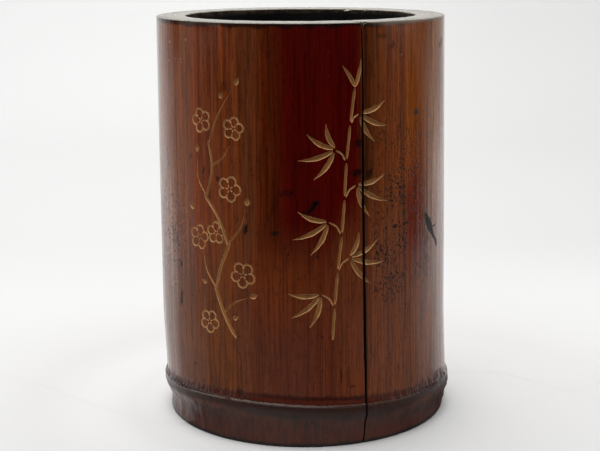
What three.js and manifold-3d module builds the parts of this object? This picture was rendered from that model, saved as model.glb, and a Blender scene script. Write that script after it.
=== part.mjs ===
// A scholar's brush pot: one length of a thick-walled bamboo culm, sawn just below a node.
// The node's own septum is the floor, and a wooden board is let into the foot under it.
// Millimetres, +Z up, the origin at the centre of the foot. The carved front faces -Y.

import * as THREE from "three";
import { mergeVertices } from "three/addons/utils/BufferGeometryUtils.js";
import Module from "manifold-3d";

const wasm = await Module();
wasm.setup();

// Driving dimensions of the culm
const culmHeight = 156;
const rimRadius = 55.6; // outside, at the mouth
const bellyRadius = 56.65; // outside, where the culm is fullest
const bellyHeight = 40;
const footRadius = 55.5; // outside, below the node
const mouthRadius = 44.6; // inside, at the mouth
const throatRadius = 43.8; // inside, just above the floor
const outerLip = 0.6; // rounding of the rim's outer edge
const innerLip = 0.7; // rounding of the rim's inner edge
const footEase = 0.9; // rounding under the foot
const rimTilt = 0.5; // the sawn rim is this much higher at the left
const boreShift = 0.7; // at the mouth the hollow lies this much nearer the back

// The node: a swollen ring, with the thin scar of the leaf sheath above it
const nodeHeight = 12.4;
const nodeSwell = 1.3;
const nodeHalfWidth = 3.5;
const scarHeight = 14.9;
const scarSwell = 0.34;
const scarHalfWidth = 0.55;
// Ring and scar are not level. Each wave rises this far, so many times round, and starts at a turn.
const nodeWaves = [
  { rise: 0.96, times: 1, turn: THREE.MathUtils.degToRad(11) },
  { rise: 1.16, times: 2, turn: THREE.MathUtils.degToRad(22) },
  { rise: 0.54, times: 3, turn: THREE.MathUtils.degToRad(112) },
];
const sweepAtNode = 0.9; // the culm bends this far to the left just above the node
const sweepAbove = 0.25; // and this much more on the way up to the rim

// The drying crack, open from the rim to the foot, right through the wall
const crackAngle = THREE.MathUtils.degToRad(23);
// Its way up the wall: height, how far it strays to the right, and how wide it gapes there
const crackRun = [
  [-3, -0.4, 0.6],
  [7, -0.45, 0.65],
  [17, -0.1, 0.95],
  [40, 0.45, 1.1],
  [56, 0.3, 1.15],
  [93, -0.05, 1.0],
  [129, 0.05, 0.75],
  [150, -0.25, 0.5],
  [159, -0.8, 0.48],
];

// The floor and the base
const ledgeHeight = 13.4; // the wall is thicker below the node, and the septum is rooted here
const ledgeRadius = 42.4;
const seatGap = 0.4;
const septumThickness = 4.2;
const septumEdgeRise = 1.9; // the septum curves up to meet the wall
const rebateRadius = 48;
const rebateHeight = 6.6;
const boardThickness = 4.6;
const boardEase = 0.5;
const pinRadius = 1.1;
const pinLength = 10.5;
const pinCircle = 45.3;
const pinCount = 3;
const pinGap = 0.3;

const roundSteps = 84;
const pinSides = 10;
const smooth = THREE.MathUtils.smoothstep;

// The outside of the culm while the node is still level: taper, the step in at the foot, ring and scar.
function outerRadius(z) {
  const upward = (z - bellyHeight) / (culmHeight - bellyHeight);
  const culm = bellyRadius + (rimRadius - bellyRadius) * Math.max(upward, 0);
  const base = THREE.MathUtils.lerp(footRadius, culm, smooth(z, 3.5, 16));
  const ring = nodeSwell * Math.exp(-(((z - nodeHeight) / nodeHalfWidth) ** 2));
  const scar = scarSwell * Math.exp(-(((z - scarHeight) / scarHalfWidth) ** 2));
  return base + ring + scar;
}

function innerRadius(z) {
  const upward = (z - ledgeHeight) / (culmHeight - ledgeHeight);
  return throatRadius + (mouthRadius - throatRadius) * Math.sqrt(Math.max(upward, 0));
}

// Points of a quarter round, from one angle to the next, about a centre.
function quarterRound(r, z, radius, from, steps = 4) {
  return Array.from({ length: steps + 1 }, (_, i) => {
    const a = from + (Math.PI / 2) * (i / steps);
    return new THREE.Vector2(r + radius * Math.cos(a), z + radius * Math.sin(a));
  });
}

// Heights from low to high, with the given step.
function heights(low, high, step) {
  const count = Math.max(1, Math.round((high - low) / step));
  return Array.from({ length: count + 1 }, (_, i) => low + ((high - low) * i) / count);
}

// A revolved solid about Z. A profile point is (radius, height).
function revolved(profile, steps = roundSteps) {
  const geometry = new THREE.LatheGeometry(profile, steps);
  geometry.rotateX(Math.PI / 2);
  return geometry;
}

function solidFrom(geometry) {
  const bare = geometry.clone();
  bare.deleteAttribute("normal");
  bare.deleteAttribute("uv");
  const merged = mergeVertices(bare, 1e-4);
  return new wasm.Manifold(
    new wasm.Mesh({
      numProp: 3,
      vertProperties: merged.getAttribute("position").array,
      triVerts: new Uint32Array(merged.index.array),
    }),
  );
}

function geometryFrom(solid) {
  const mesh = solid.getMesh();
  const geometry = new THREE.BufferGeometry();
  geometry.setAttribute("position", new THREE.BufferAttribute(mesh.vertProperties, 3));
  geometry.setIndex(new THREE.BufferAttribute(mesh.triVerts, 1));
  return geometry;
}

// How far above or below its mean height the node runs, at an angle from the front.
function nodeLift(angle) {
  return nodeWaves.reduce((sum, wave) => sum + wave.rise * Math.cos(wave.times * angle + wave.turn), 0);
}

// The culm grew with its node uneven and a slight bend above it, and its hollow is not quite central
// at the mouth. Only the outside follows the node's unevenness.
function growCrooked(geometry) {
  const position = geometry.getAttribute("position");
  const point = new THREE.Vector3();
  for (let i = 0; i < position.count; i += 1) {
    point.fromBufferAttribute(position, i);
    const angle = Math.atan2(point.x, -point.y);
    const outside = Math.hypot(point.x, point.y) > (rimRadius + mouthRadius) / 2;
    const near = smooth(point.z, 1, 9) * (1 - smooth(point.z, 22, 46));
    if (outside) point.z += nodeLift(angle) * near;
    else point.y += boreShift * smooth(point.z, 70, 150);
    const askew = (rimTilt / 2) * (1 - point.x / rimRadius) * smooth(point.z, 130, culmHeight);
    const bend = sweepAtNode * smooth(point.z, nodeHeight, 45);
    point.x -= bend + sweepAbove * smooth(point.z, 45, culmHeight);
    position.setXYZ(i, point.x, point.y, point.z + askew);
  }
  return geometry;
}

function crackSolid() {
  const left = crackRun.map(([z, stray, width]) => new THREE.Vector2(stray - width / 2, z));
  const right = crackRun.map(([z, stray, width]) => new THREE.Vector2(stray + width / 2, z)).reverse();
  const slot = new THREE.ExtrudeGeometry(new THREE.Shape([...left, ...right]), {
    depth: 30,
    bevelEnabled: false,
  });
  slot.rotateX(Math.PI / 2);
  slot.translate(0, -35, 0);
  slot.rotateZ(crackAngle);
  return solidFrom(slot);
}

function pinPlace(i) {
  const angle = THREE.MathUtils.degToRad(85) + (i * 2 * Math.PI) / pinCount;
  return new THREE.Vector2(pinCircle * Math.sin(angle), -pinCircle * Math.cos(angle));
}

const boardBottom = rebateHeight - seatGap - boardThickness;

// A round hole up from below the foot, for one pin.
function pinHole(i, top) {
  const hole = new THREE.CylinderGeometry(pinRadius + pinGap, pinRadius + pinGap, top + 5, pinSides);
  const place = pinPlace(i);
  hole.rotateX(Math.PI / 2);
  hole.translate(place.x, place.y, (top - 5) / 2);
  return solidFrom(hole);
}

function culmWall() {
  const outside = [
    ...heights(footEase + 1.4, 12.6, 1.7),
    ...heights(13.5, 16.5, 0.43),
    ...heights(18.5, 26, 2.5),
    ...heights(30, culmHeight - outerLip - 4, 15),
  ].map((z) => new THREE.Vector2(outerRadius(z), z));
  const inside = heights(ledgeHeight, culmHeight - innerLip, 24).map(
    (z) => new THREE.Vector2(innerRadius(z), z),
  );
  const profile = [
    ...quarterRound(footRadius - footEase, footEase, footEase, -Math.PI / 2),
    ...outside,
    ...quarterRound(rimRadius - outerLip, culmHeight - outerLip, outerLip, 0),
    ...quarterRound(mouthRadius + innerLip, culmHeight - innerLip, innerLip, Math.PI / 2, 3),
    ...inside.reverse(),
    new THREE.Vector2(ledgeRadius, ledgeHeight),
    new THREE.Vector2(ledgeRadius + 0.5, rebateHeight),
    new THREE.Vector2(rebateRadius, rebateHeight),
    new THREE.Vector2(rebateRadius, boardEase),
    new THREE.Vector2(rebateRadius + boardEase, 0),
  ];
  profile.push(profile[0].clone());
  let wall = solidFrom(growCrooked(revolved(profile)));
  wall = wall.subtract(crackSolid());
  for (let i = 0; i < pinCount; i += 1) {
    wall = wall.subtract(pinHole(i, boardBottom + pinLength + pinGap));
  }
  return geometryFrom(wall);
}

// The woody plate that closes a culm at its node, dished a little and curving up at its edge.
function nodeSeptum() {
  const radius = throatRadius - seatGap;
  const under = ledgeHeight + 0.3;
  const top = under + septumThickness;
  const rise = new THREE.SplineCurve([
    new THREE.Vector2(radius, top + septumEdgeRise),
    new THREE.Vector2(radius - 1.6, top + septumEdgeRise * 0.35),
    new THREE.Vector2(radius - 5.5, top - 0.2),
    new THREE.Vector2(radius * 0.5, top - 0.9),
    new THREE.Vector2(0, top - 1.1),
  ]).getPoints(9);
  rise[rise.length - 1].x = 0;
  return revolved([
    new THREE.Vector2(0, under + 0.5),
    new THREE.Vector2(radius * 0.6, under + 0.3),
    new THREE.Vector2(radius - 5, under),
    new THREE.Vector2(radius, under),
    ...rise,
  ]);
}

// The board in the foot: a turned disc, eased on its lower edge, held up by the pins.
function baseBoard() {
  const radius = rebateRadius - seatGap;
  const profile = [
    new THREE.Vector2(0, boardBottom),
    new THREE.Vector2(radius - boardEase, boardBottom),
    new THREE.Vector2(radius, boardBottom + boardEase),
    new THREE.Vector2(radius, boardBottom + boardThickness),
    new THREE.Vector2(0, boardBottom + boardThickness),
  ];
  let board = solidFrom(revolved(profile));
  for (let i = 0; i < pinCount; i += 1) {
    board = board.subtract(pinHole(i, rebateHeight + 4));
  }
  return geometryFrom(board);
}

// A bamboo pin, whittled a little thinner towards its upper end.
function basePin() {
  const pin = new THREE.CylinderGeometry(pinRadius * 0.8, pinRadius, pinLength, pinSides);
  pin.rotateX(Math.PI / 2);
  return pin;
}

function wood(colour, roughness) {
  return new THREE.MeshStandardMaterial({ color: colour, roughness, metalness: 0 });
}

const culmSkin = wood(0x4a1d12, 0.35);
const septumWood = wood(0x15110e, 0.6);
const boardWood = wood(0x3a2115, 0.6);
const pinBamboo = wood(0x9a6b38, 0.6);

function part(name, geometry, material) {
  const mesh = new THREE.Mesh(geometry, material);
  mesh.name = name;
  return mesh;
}

const brushPot = new THREE.Group();
brushPot.add(part("culm_wall", culmWall(), culmSkin));
brushPot.add(part("node_septum", nodeSeptum(), septumWood));
brushPot.add(part("base_board", baseBoard(), boardWood));
for (let i = 0; i < pinCount; i += 1) {
  const pin = part(`base_pin_${i + 1}`, basePin(), pinBamboo);
  const place = pinPlace(i);
  pin.position.set(place.x, place.y, boardBottom + pinLength / 2);
  brushPot.add(pin);
}

export default brushPot;
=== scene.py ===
# A scholar's brush pot: a length of old bamboo with a carved front, dressed for the render.
# Metres, +Z up, the origin at the centre of the foot. The carved front faces -Y.
# Distances in the making functions are in millimetres, as on a drawing.

import math

import bmesh
import bpy
from mathutils import Matrix, Vector, noise


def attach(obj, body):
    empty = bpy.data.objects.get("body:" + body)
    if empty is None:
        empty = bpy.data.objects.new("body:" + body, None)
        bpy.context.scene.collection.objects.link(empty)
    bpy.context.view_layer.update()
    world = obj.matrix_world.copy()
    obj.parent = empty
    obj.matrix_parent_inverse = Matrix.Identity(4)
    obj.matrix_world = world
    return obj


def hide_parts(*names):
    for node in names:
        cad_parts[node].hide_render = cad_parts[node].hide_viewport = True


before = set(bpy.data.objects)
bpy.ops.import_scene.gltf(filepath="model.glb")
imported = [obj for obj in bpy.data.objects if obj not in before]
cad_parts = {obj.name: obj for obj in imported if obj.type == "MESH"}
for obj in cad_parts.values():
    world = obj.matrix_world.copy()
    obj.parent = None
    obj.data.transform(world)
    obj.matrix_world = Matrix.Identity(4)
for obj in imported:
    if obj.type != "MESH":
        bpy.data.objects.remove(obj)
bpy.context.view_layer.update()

MM = 0.001

# The culm, as in the CAD model
CULM_HEIGHT = 156.0
RIM_RADIUS = 55.6
BELLY_RADIUS = 56.65
BELLY_HEIGHT = 40.0
FOOT_RADIUS = 55.5
MOUTH_RADIUS = 44.6
THROAT_RADIUS = 43.8
OUTER_LIP = 0.6
INNER_LIP = 0.7
FOOT_EASE = 0.5
NODE_HEIGHT = 12.4
NODE_SWELL = 1.3
NODE_HALF_WIDTH = 3.5
SCAR_HEIGHT = 14.9
SCAR_SWELL = 0.3
SCAR_HALF_WIDTH = 0.42
# the node waves up and down round the culm: rise, times round, turn in degrees
NODE_WAVES = [(0.96, 1, 11), (1.16, 2, 22), (0.54, 3, 112)]
NODE_DIP = 1.2  # further down at the right edge
DIP_START = (62, 84)  # the dip comes in between these turns
BACK_FADE = (110, 160)  # what belongs to one side dies away between these turns
SWEEP_AT_NODE = 0.9
SWEEP_ABOVE = 0.25
RIM_TILT = 0.5  # the sawn rim is this much higher at the left
BORE_SHIFT = 0.7  # at the mouth the hollow lies this much nearer the back
LEDGE_HEIGHT = 13.4
LEDGE_RADIUS = 42.4
REBATE_RADIUS = 48.0
REBATE_HEIGHT = 6.6
BOARD_BOTTOM = 1.6
BOARD_THICKNESS = 4.6
PIN_RADIUS = 1.1
PIN_LENGTH = 10.5
PIN_CIRCLE = 45.3
PIN_ANGLES = [math.radians(85 + 120 * i) for i in range(3)]
SKIN_RADIUS = 56.3  # the mean outside, on which the carving is laid out
SEPTUM_RADIUS = 43.84
SEPTUM_THICKNESS = 4.5
SEPTUM_EDGE_RISE = 1.9
BOARD_GAP = 0.15
BOARD_EASE = 0.5
GOUGE_DEPTH = 0.42
CARVED_FROM, CARVED_TO = 36, 146  # the heights between which the skin is carved
WALL_STEPS = 360
FLOOR_STEPS = 160
WELD = 0.004  # corners closer than this become one
BLADE_REACH = 62  # the tool that cuts the crack starts this far from the middle
BLADE_DEPTH = 24

# the wall's finishes, in the order of its material slots
SKIN, RIM, LINING, CARVED, SPLIT = range(5)
LINING_RADIUS = 50.5  # faces nearer the middle than this line the hollow

# small nicks along the hollow's edge at the back: turn, radius, height, size and squash
NICKS = [
    (154, 44.5, 156.2, 1.9, (1.4, 0.9, 0.8)),
    (143, 44.6, 156.1, 1.2, (0.8, 1.0, 0.9)),
    (110, 44.6, 156.1, 1.0, (1.0, 1.0, 0.9)),
    (106, 44.7, 156.1, 0.8, (1.0, 1.0, 0.9)),
]

# The drying crack: height, how far right of its middle line, and width
CRACK_ANGLE = math.radians(23)
CRACK = [
    (-3, -0.8, 0.55), (1, -0.7, 0.55), (7, -0.65, 0.6), (11.5, -0.4, 0.75), (17, -0.1, 0.95),
    (25, 0.15, 1.0), (40, 0.45, 1.1), (56, 0.3, 1.15), (74, 0.1, 1.1), (93, -0.05, 1.0),
    (111, -0.05, 0.9), (129, 0.05, 0.75), (143, -0.05, 0.55), (150, -0.25, 0.5), (159, -0.8, 0.48),
]


def smooth(value, low, high):
    t = min(max((value - low) / (high - low), 0.0), 1.0)
    return t * t * (3 - 2 * t)


def lerp(a, b, t):
    return a + (b - a) * t


def along(rows, value):
    """A value from a list of (place, value, ...) rows, eased between the two nearest."""
    for low, high in zip(rows, rows[1:]):
        if value <= high[0]:
            t = max((value - low[0]) / (high[0] - low[0]), 0.0)
            return [lerp(a, b, t) for a, b in zip(low[1:], high[1:])]
    return list(rows[-1][1:])


def outer_radius(z):
    culm = BELLY_RADIUS + (RIM_RADIUS - BELLY_RADIUS) * max(
        (z - BELLY_HEIGHT) / (CULM_HEIGHT - BELLY_HEIGHT), 0
    )
    base = lerp(FOOT_RADIUS, culm, smooth(z, 3.5, 16))
    ring = NODE_SWELL * math.exp(-(((z - NODE_HEIGHT) / NODE_HALF_WIDTH) ** 2))
    scar = SCAR_SWELL * math.exp(-(((z - SCAR_HEIGHT) / SCAR_HALF_WIDTH) ** 2))
    return base + ring + scar


def node_lift(angle):
    """How far above its mean height the node runs, at an angle from the front."""
    waves = sum(
        rise * math.cos(times * angle + math.radians(start)) for rise, times, start in NODE_WAVES
    )
    turn = math.degrees(angle)
    return waves - NODE_DIP * smooth(turn, *DIP_START) * (1 - smooth(turn, *BACK_FADE))


def inner_radius(z):
    upward = max((z - LEDGE_HEIGHT) / (CULM_HEIGHT - LEDGE_HEIGHT), 0)
    return THROAT_RADIUS + (MOUTH_RADIUS - THROAT_RADIUS) * math.sqrt(upward)


def steps(low, high, step):
    count = max(1, round((high - low) / step))
    return [low + (high - low) * i / count for i in range(count + 1)]


def quarter_round(r, z, radius, start, count):
    turns = [start + math.pi / 2 * i / count for i in range(count + 1)]
    return [(r + radius * math.cos(a), z + radius * math.sin(a)) for a in turns]


# Working by hand in edit mode

def let_go():
    if bpy.context.object and bpy.context.object.mode != "OBJECT":
        bpy.ops.object.mode_set(mode="OBJECT")
    bpy.ops.object.select_all(action="DESELECT")


def take(piece):
    let_go()
    piece.select_set(True)
    bpy.context.view_layer.objects.active = piece


def drawn_line(name, points):
    """A line of points (x, y, z) in millimetres, drawn one after the other from a single point."""
    let_go()
    bpy.ops.mesh.primitive_plane_add(size=MM, enter_editmode=True)
    piece = bpy.context.object
    piece.name = name
    bpy.ops.mesh.select_all(action="SELECT")
    bpy.ops.mesh.merge(type="CENTER")
    bpy.ops.transform.translate(value=[c * MM for c in points[0]])
    for a, b in zip(points, points[1:]):
        step = [(q - p) * MM for p, q in zip(a, b)]
        bpy.ops.mesh.extrude_vertices_move(TRANSFORM_OT_translate={"value": step})
    bpy.ops.mesh.select_all(action="SELECT")
    return piece


def tidy_faces():
    bpy.ops.mesh.select_all(action="SELECT")
    bpy.ops.mesh.remove_doubles(threshold=WELD * MM)
    bpy.ops.mesh.normals_make_consistent(inside=False)
    bpy.ops.object.mode_set(mode="OBJECT")


def turned(name, profile, count):
    """A turned solid: the profile, (radius, height), is drawn and spun about Z."""
    piece = drawn_line(name, [(r, 0, z) for r, z in profile])
    bpy.ops.mesh.spin(steps=count, angle=math.tau, center=(0, 0, 0), axis=(0, 0, 1))
    tidy_faces()
    return piece


def combine(piece, tool, operation):
    take(piece)
    step = piece.modifiers.new("combine", "BOOLEAN")
    step.operation = operation
    step.solver = "MANIFOLD"
    step.object = tool
    bpy.ops.object.modifier_apply(modifier="combine")
    bpy.data.objects.remove(tool)


def cut_away(piece, tool):
    combine(piece, tool, "DIFFERENCE")


def softened(piece, degrees=35):
    take(piece)
    bpy.ops.object.shade_smooth_by_angle(angle=math.radians(degrees))


# The culm's wall

def wall_profile():
    outside = (
        steps(2.2, 13.2, 0.75)
        + steps(13.6, 16.2, 0.2)
        + steps(17.0, 24.2, 1.0)
        + steps(26.5, CULM_HEIGHT - OUTER_LIP - 1.5, 2.6)
    )
    inside = steps(LEDGE_HEIGHT, CULM_HEIGHT - INNER_LIP, 9)
    profile = quarter_round(FOOT_RADIUS - FOOT_EASE, FOOT_EASE, FOOT_EASE, -math.pi / 2, 5)
    profile += [(outer_radius(z), z) for z in outside]
    profile += quarter_round(RIM_RADIUS - OUTER_LIP, CULM_HEIGHT - OUTER_LIP, OUTER_LIP, 0, 6)
    profile += [(r, CULM_HEIGHT) for r in (52.2, 50.0, 47.8)]
    profile += quarter_round(
        MOUTH_RADIUS + INNER_LIP, CULM_HEIGHT - INNER_LIP, INNER_LIP, math.pi / 2, 4
    )
    profile += [(inner_radius(z), z) for z in reversed(inside)]
    profile += [
        (LEDGE_RADIUS, LEDGE_HEIGHT),
        (LEDGE_RADIUS + 0.5, REBATE_HEIGHT),
        (REBATE_RADIUS, REBATE_HEIGHT),
        (REBATE_RADIUS, 0.5),
        (REBATE_RADIUS + 0.5, 0),
    ]
    profile.append(profile[0])
    return profile


def crack_blade():
    """A thin wandering blade, as wide as the crack, reaching from outside the wall to the hollow."""
    rows = [(z, *along(CRACK, z)) for z in steps(CRACK[0][0], CRACK[-1][0], 4)]
    left = [(s - w / 2, -BLADE_REACH, z) for z, s, w in rows]
    right = [(s + w / 2, -BLADE_REACH, z) for z, s, w in reversed(rows)]
    blade = drawn_line("crack blade", left + right + left[:1])
    bpy.ops.mesh.remove_doubles(threshold=WELD * MM)
    bpy.ops.mesh.select_all(action="SELECT")
    bpy.ops.mesh.edge_face_add()
    bpy.ops.mesh.extrude_region_move(TRANSFORM_OT_translate={"value": (0, BLADE_DEPTH * MM, 0)})
    tidy_faces()
    blade.data.transform(Matrix.Rotation(CRACK_ANGLE, 4, "Z"))
    return blade


def chip_tool(angle, radius, z, size, squash):
    """A broken-out bit: a rough little ball, pressed flat the given way."""
    let_go()
    bpy.ops.mesh.primitive_ico_sphere_add(subdivisions=3, radius=size * MM)
    tool = bpy.context.object
    for corner in tool.data.vertices:
        rough = 0.75 + 0.5 * noise.noise(corner.co / (size * MM) * 1.7 + Vector((angle, z, radius)))
        corner.co = corner.co * rough
    place = Matrix.Rotation(angle, 4, "Z") @ Matrix.Translation((0, -radius * MM, z * MM))
    tool.data.transform(place @ Matrix.Diagonal((*squash, 1)))
    return tool


def on_skin(u, z, height=0.0):
    """The place on the skin that is u millimetres round from the front, at height z."""
    angle = u / SKIN_RADIUS
    radius = outer_radius(z) + height
    return Vector((math.sin(angle) * radius, -math.cos(angle) * radius, z)) * MM


GOUGE = [(-1, 0.0), (-0.86, 0.72), (-0.55, 0.97), (0, 1.0), (0.55, 0.97), (0.86, 0.72), (1, 0.0)]


def gouge_cut(path, widths, depth):
    """The tool for one carved stroke along path (u, z), with a half-width at each point."""
    shape = bmesh.new()
    rings = []
    for i, ((u, z), half) in enumerate(zip(path, widths)):
        before = Vector(path[max(i - 1, 0)])
        after = Vector(path[min(i + 1, len(path) - 1)])
        ahead = (after - before).normalized()
        side = Vector((ahead.y, -ahead.x))
        sink = depth * min(1.0, 0.35 + half / 0.55)
        corners = [(s * half, -d * sink) for s, d in GOUGE]
        corners += [(half * 1.05, 0.5), (-half * 1.05, 0.5)]
        rings.append(
            [
                shape.verts.new(on_skin(u + side.x * s, z + side.y * s, h))
                for s, h in corners
            ]
        )
    count = len(rings[0])
    for a, b in zip(rings, rings[1:]):
        for i in range(count):
            j = (i + 1) % count
            shape.faces.new((a[i], a[j], b[j], b[i]))
    shape.faces.new(list(reversed(rings[0])))
    shape.faces.new(rings[-1])
    bmesh.ops.triangulate(shape, faces=shape.faces[:])
    bmesh.ops.recalc_face_normals(shape, faces=shape.faces[:])
    mesh = bpy.data.meshes.new("gouge")
    shape.to_mesh(mesh)
    shape.free()
    tool = bpy.data.objects.new("gouge", mesh)
    bpy.context.scene.collection.objects.link(tool)
    return tool


def curve_through(points, count):
    """Points spread evenly along a smooth curve through the given ones."""
    points = [Vector(p) for p in points]
    ends = [points[0] * 2 - points[1]] + points + [points[-1] * 2 - points[-2]]
    fine = []
    for a, b, c, d in zip(ends, ends[1:], ends[2:], ends[3:]):
        for i in range(12):
            t = i / 12
            fine.append(
                0.5 * (2 * b + (c - a) * t + (2 * a - 5 * b + 4 * c - d) * t * t
                       + (3 * b - a - 3 * c + d) * t ** 3)
            )
    fine.append(points[-1])
    lengths = [0.0]
    for a, b in zip(fine, fine[1:]):
        lengths.append(lengths[-1] + (b - a).length)
    out = []
    k = 0
    for i in range(count + 1):
        want = lengths[-1] * i / count
        while k < len(fine) - 2 and lengths[k + 1] < want:
            k += 1
        t = (want - lengths[k]) / max(lengths[k + 1] - lengths[k], 1e-9)
        out.append(tuple(fine[k].lerp(fine[k + 1], t)))
    return out


def stroke(points, half, taper="round", depth=GOUGE_DEPTH):
    """A carved line of even width, with rounded or pointed ends."""
    length = sum((Vector(b) - Vector(a)).length for a, b in zip(points, points[1:]))
    count = max(6, round(length / 1.3))
    path = curve_through(points, count)
    widths = []
    for i in range(count + 1):
        t = i / count
        from_end = min(t, 1 - t) * length
        if taper == "round":
            share = math.sqrt(min(1.0, max(from_end, 0.0) / half * 0.9 + 0.12))
        elif taper == "point":
            share = max(0.12, min(1.0, (1 - t) * 1.6) * min(1.0, 0.45 + t * 4))
        else:
            share = max(0.1, math.sin(math.pi * min(1.0, 0.06 + 0.94 * t) ** 0.8))
        widths.append(half * share * (1 + 0.07 * math.sin(i * 1.9 + half * 40)))
    return gouge_cut(path, widths, depth)


def leaf(u, z, turn, length, half, bow):
    """A lance-shaped bamboo leaf from its stalk at (u, z), turned that many degrees from upright."""
    a = math.radians(turn)
    ahead = Vector((math.sin(a), math.cos(a)))
    side = Vector((ahead.y, -ahead.x))
    points = [
        tuple(Vector((u, z)) + ahead * length * t + side * bow * math.sin(math.pi * t))
        for t in (0, 0.25, 0.5, 0.75, 1)
    ]
    return stroke(points, half, "leaf", 0.4)


def bamboo_spray():
    """A tall stalk of bamboo in joints, with leaves on short twigs."""
    stalk = curve_through([(10.5, 41), (12.0, 62), (14.8, 86), (16.4, 110), (19.6, 134)], 7)
    tools = []
    for a, b in zip(stalk, stalk[1:]):
        a, b = Vector(a), Vector(b)
        gap = (b - a).normalized() * 0.75
        tools.append(stroke([tuple(a + gap), tuple((a + b) / 2), tuple(b - gap)], 0.52))
    twigs = [
        (1, -1, 6.5, [(-128, 13), (-160, 12), (-88, 11)]),
        (2, 1, 6.0, [(62, 12), (100, 13.5), (140, 12.5), (22, 9)]),
        (3, -1, 6.5, [(-70, 11), (-115, 13.5), (-150, 12.5)]),
        (4, 1, 6.0, [(75, 11), (118, 13.5), (155, 12)]),
        (5, -1, 5.5, [(-60, 11), (-104, 13), (-142, 12), (-20, 9)]),
        (6, 1, 4.5, [(68, 10.5), (112, 12), (148, 11)]),
    ]
    for joint, way, reach, leaves in twigs:
        u, z = stalk[joint]
        tip = (u + way * reach * 0.72, z + reach * 0.72)
        middle = (u + way * reach * 0.30, z + reach * 0.46)
        tools.append(stroke([(u + way * 0.5, z + 0.2), middle, tip], 0.3, "round", 0.3))
        for turn, length in leaves:
            a = math.radians(turn)
            start = (tip[0] + math.sin(a) * 1.1, tip[1] + math.cos(a) * 1.1)
            tools.append(leaf(*start, turn, length, 0.92, 0.9 * way))
    top = stalk[-1]
    for turn, length in ((-32, 9), (14, 10)):
        tools.append(leaf(top[0], top[1] - 0.4, turn, length, 0.75, 0.4))
    return tools


def blossom(u, z, size, turn):
    """A plum blossom seen from in front: five round petals in outline, with stamens."""
    tools = []
    for k in range(5):
        middle = math.radians(turn + 72 * k)
        arc = []
        for j in range(7):
            swing = math.radians(-128 + 256 * j / 6)
            out = Vector((math.sin(middle), math.cos(middle))) * size * 0.62
            edge = Vector((math.sin(middle + swing), math.cos(middle + swing))) * size * 0.42
            arc.append(tuple(Vector((u, z)) + out + edge))
        tools.append(stroke(arc, 0.36, "round", 0.32))
        a = middle + math.radians(36)
        tools.append(
            stroke(
                [
                    (u + math.sin(a) * size * t, z + math.cos(a) * size * t)
                    for t in (0.1, 0.24, 0.38)
                ],
                0.24, "round", 0.25,
            )
        )
    return tools


def bud(u, z, turn, size):
    a = math.radians(turn)
    points = [(u + math.sin(a) * size * t, z + math.cos(a) * size * t) for t in (0, 0.5, 1)]
    return stroke(points, size * 0.34, "leaf", 0.4)


def plum_branch():
    """An old plum branch climbing the left of the front, with blossoms and buds."""
    tools = [
        stroke([(-25.5, 41), (-30.5, 50), (-34.5, 60)], 0.72),
        stroke([(-34.2, 58.5), (-31.5, 68), (-27.5, 77)], 0.66),
        stroke([(-28.0, 75.5), (-32.5, 86), (-39.0, 94)], 0.6),
        stroke([(-38.0, 92.5), (-35.0, 104), (-36.5, 114)], 0.52),
        stroke([(-36.4, 112.5), (-32.0, 123), (-25.5, 133)], 0.42, "point"),
        stroke([(-34.0, 59.5), (-38.5, 66), (-40.0, 73)], 0.42, "point"),
        stroke([(-30.4, 50.5), (-25.5, 55), (-20.5, 57)], 0.42, "point"),
        stroke([(-28.0, 77.0), (-23.0, 83), (-21.0, 90)], 0.42, "point"),
        stroke([(-38.4, 94.0), (-42.0, 100), (-42.0, 107)], 0.38, "point"),
        stroke([(-35.6, 104.5), (-30.0, 108), (-27.0, 113)], 0.38, "point"),
    ]
    for place in (
        (-42.0, 77.6, 4.4, 10), (-22.4, 65.5, 4.6, 40), (-33.6, 80.2, 3.9, 0),
        (-27.4, 97.0, 4.5, 22), (-39.8, 121.0, 4.3, 54), (-25.4, 119.0, 4.0, 12),
        (-37.5, 46.0, 4.3, 30),
    ):
        tools += blossom(*place)
    for place in (
        (-19.6, 57.4, 70, 3.0), (-20.6, 91.4, 15, 3.0), (-44.4, 88.0, -60, 2.8),
        (-42.2, 109.4, 5, 2.9), (-24.4, 134.6, 35, 2.8), (-29.8, 129.6, -30, 2.6),
        (-26.6, 48.4, 60, 2.5), (-38.6, 60.6, -70, 2.5),
    ):
        tools.append(bud(*place))
    return tools


def carve(wall):
    strokes = bamboo_spray() + plum_branch()
    for extra in strokes[1:]:
        combine(strokes[0], extra, "UNION")
    cut_away(wall, strokes[0])


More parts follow.
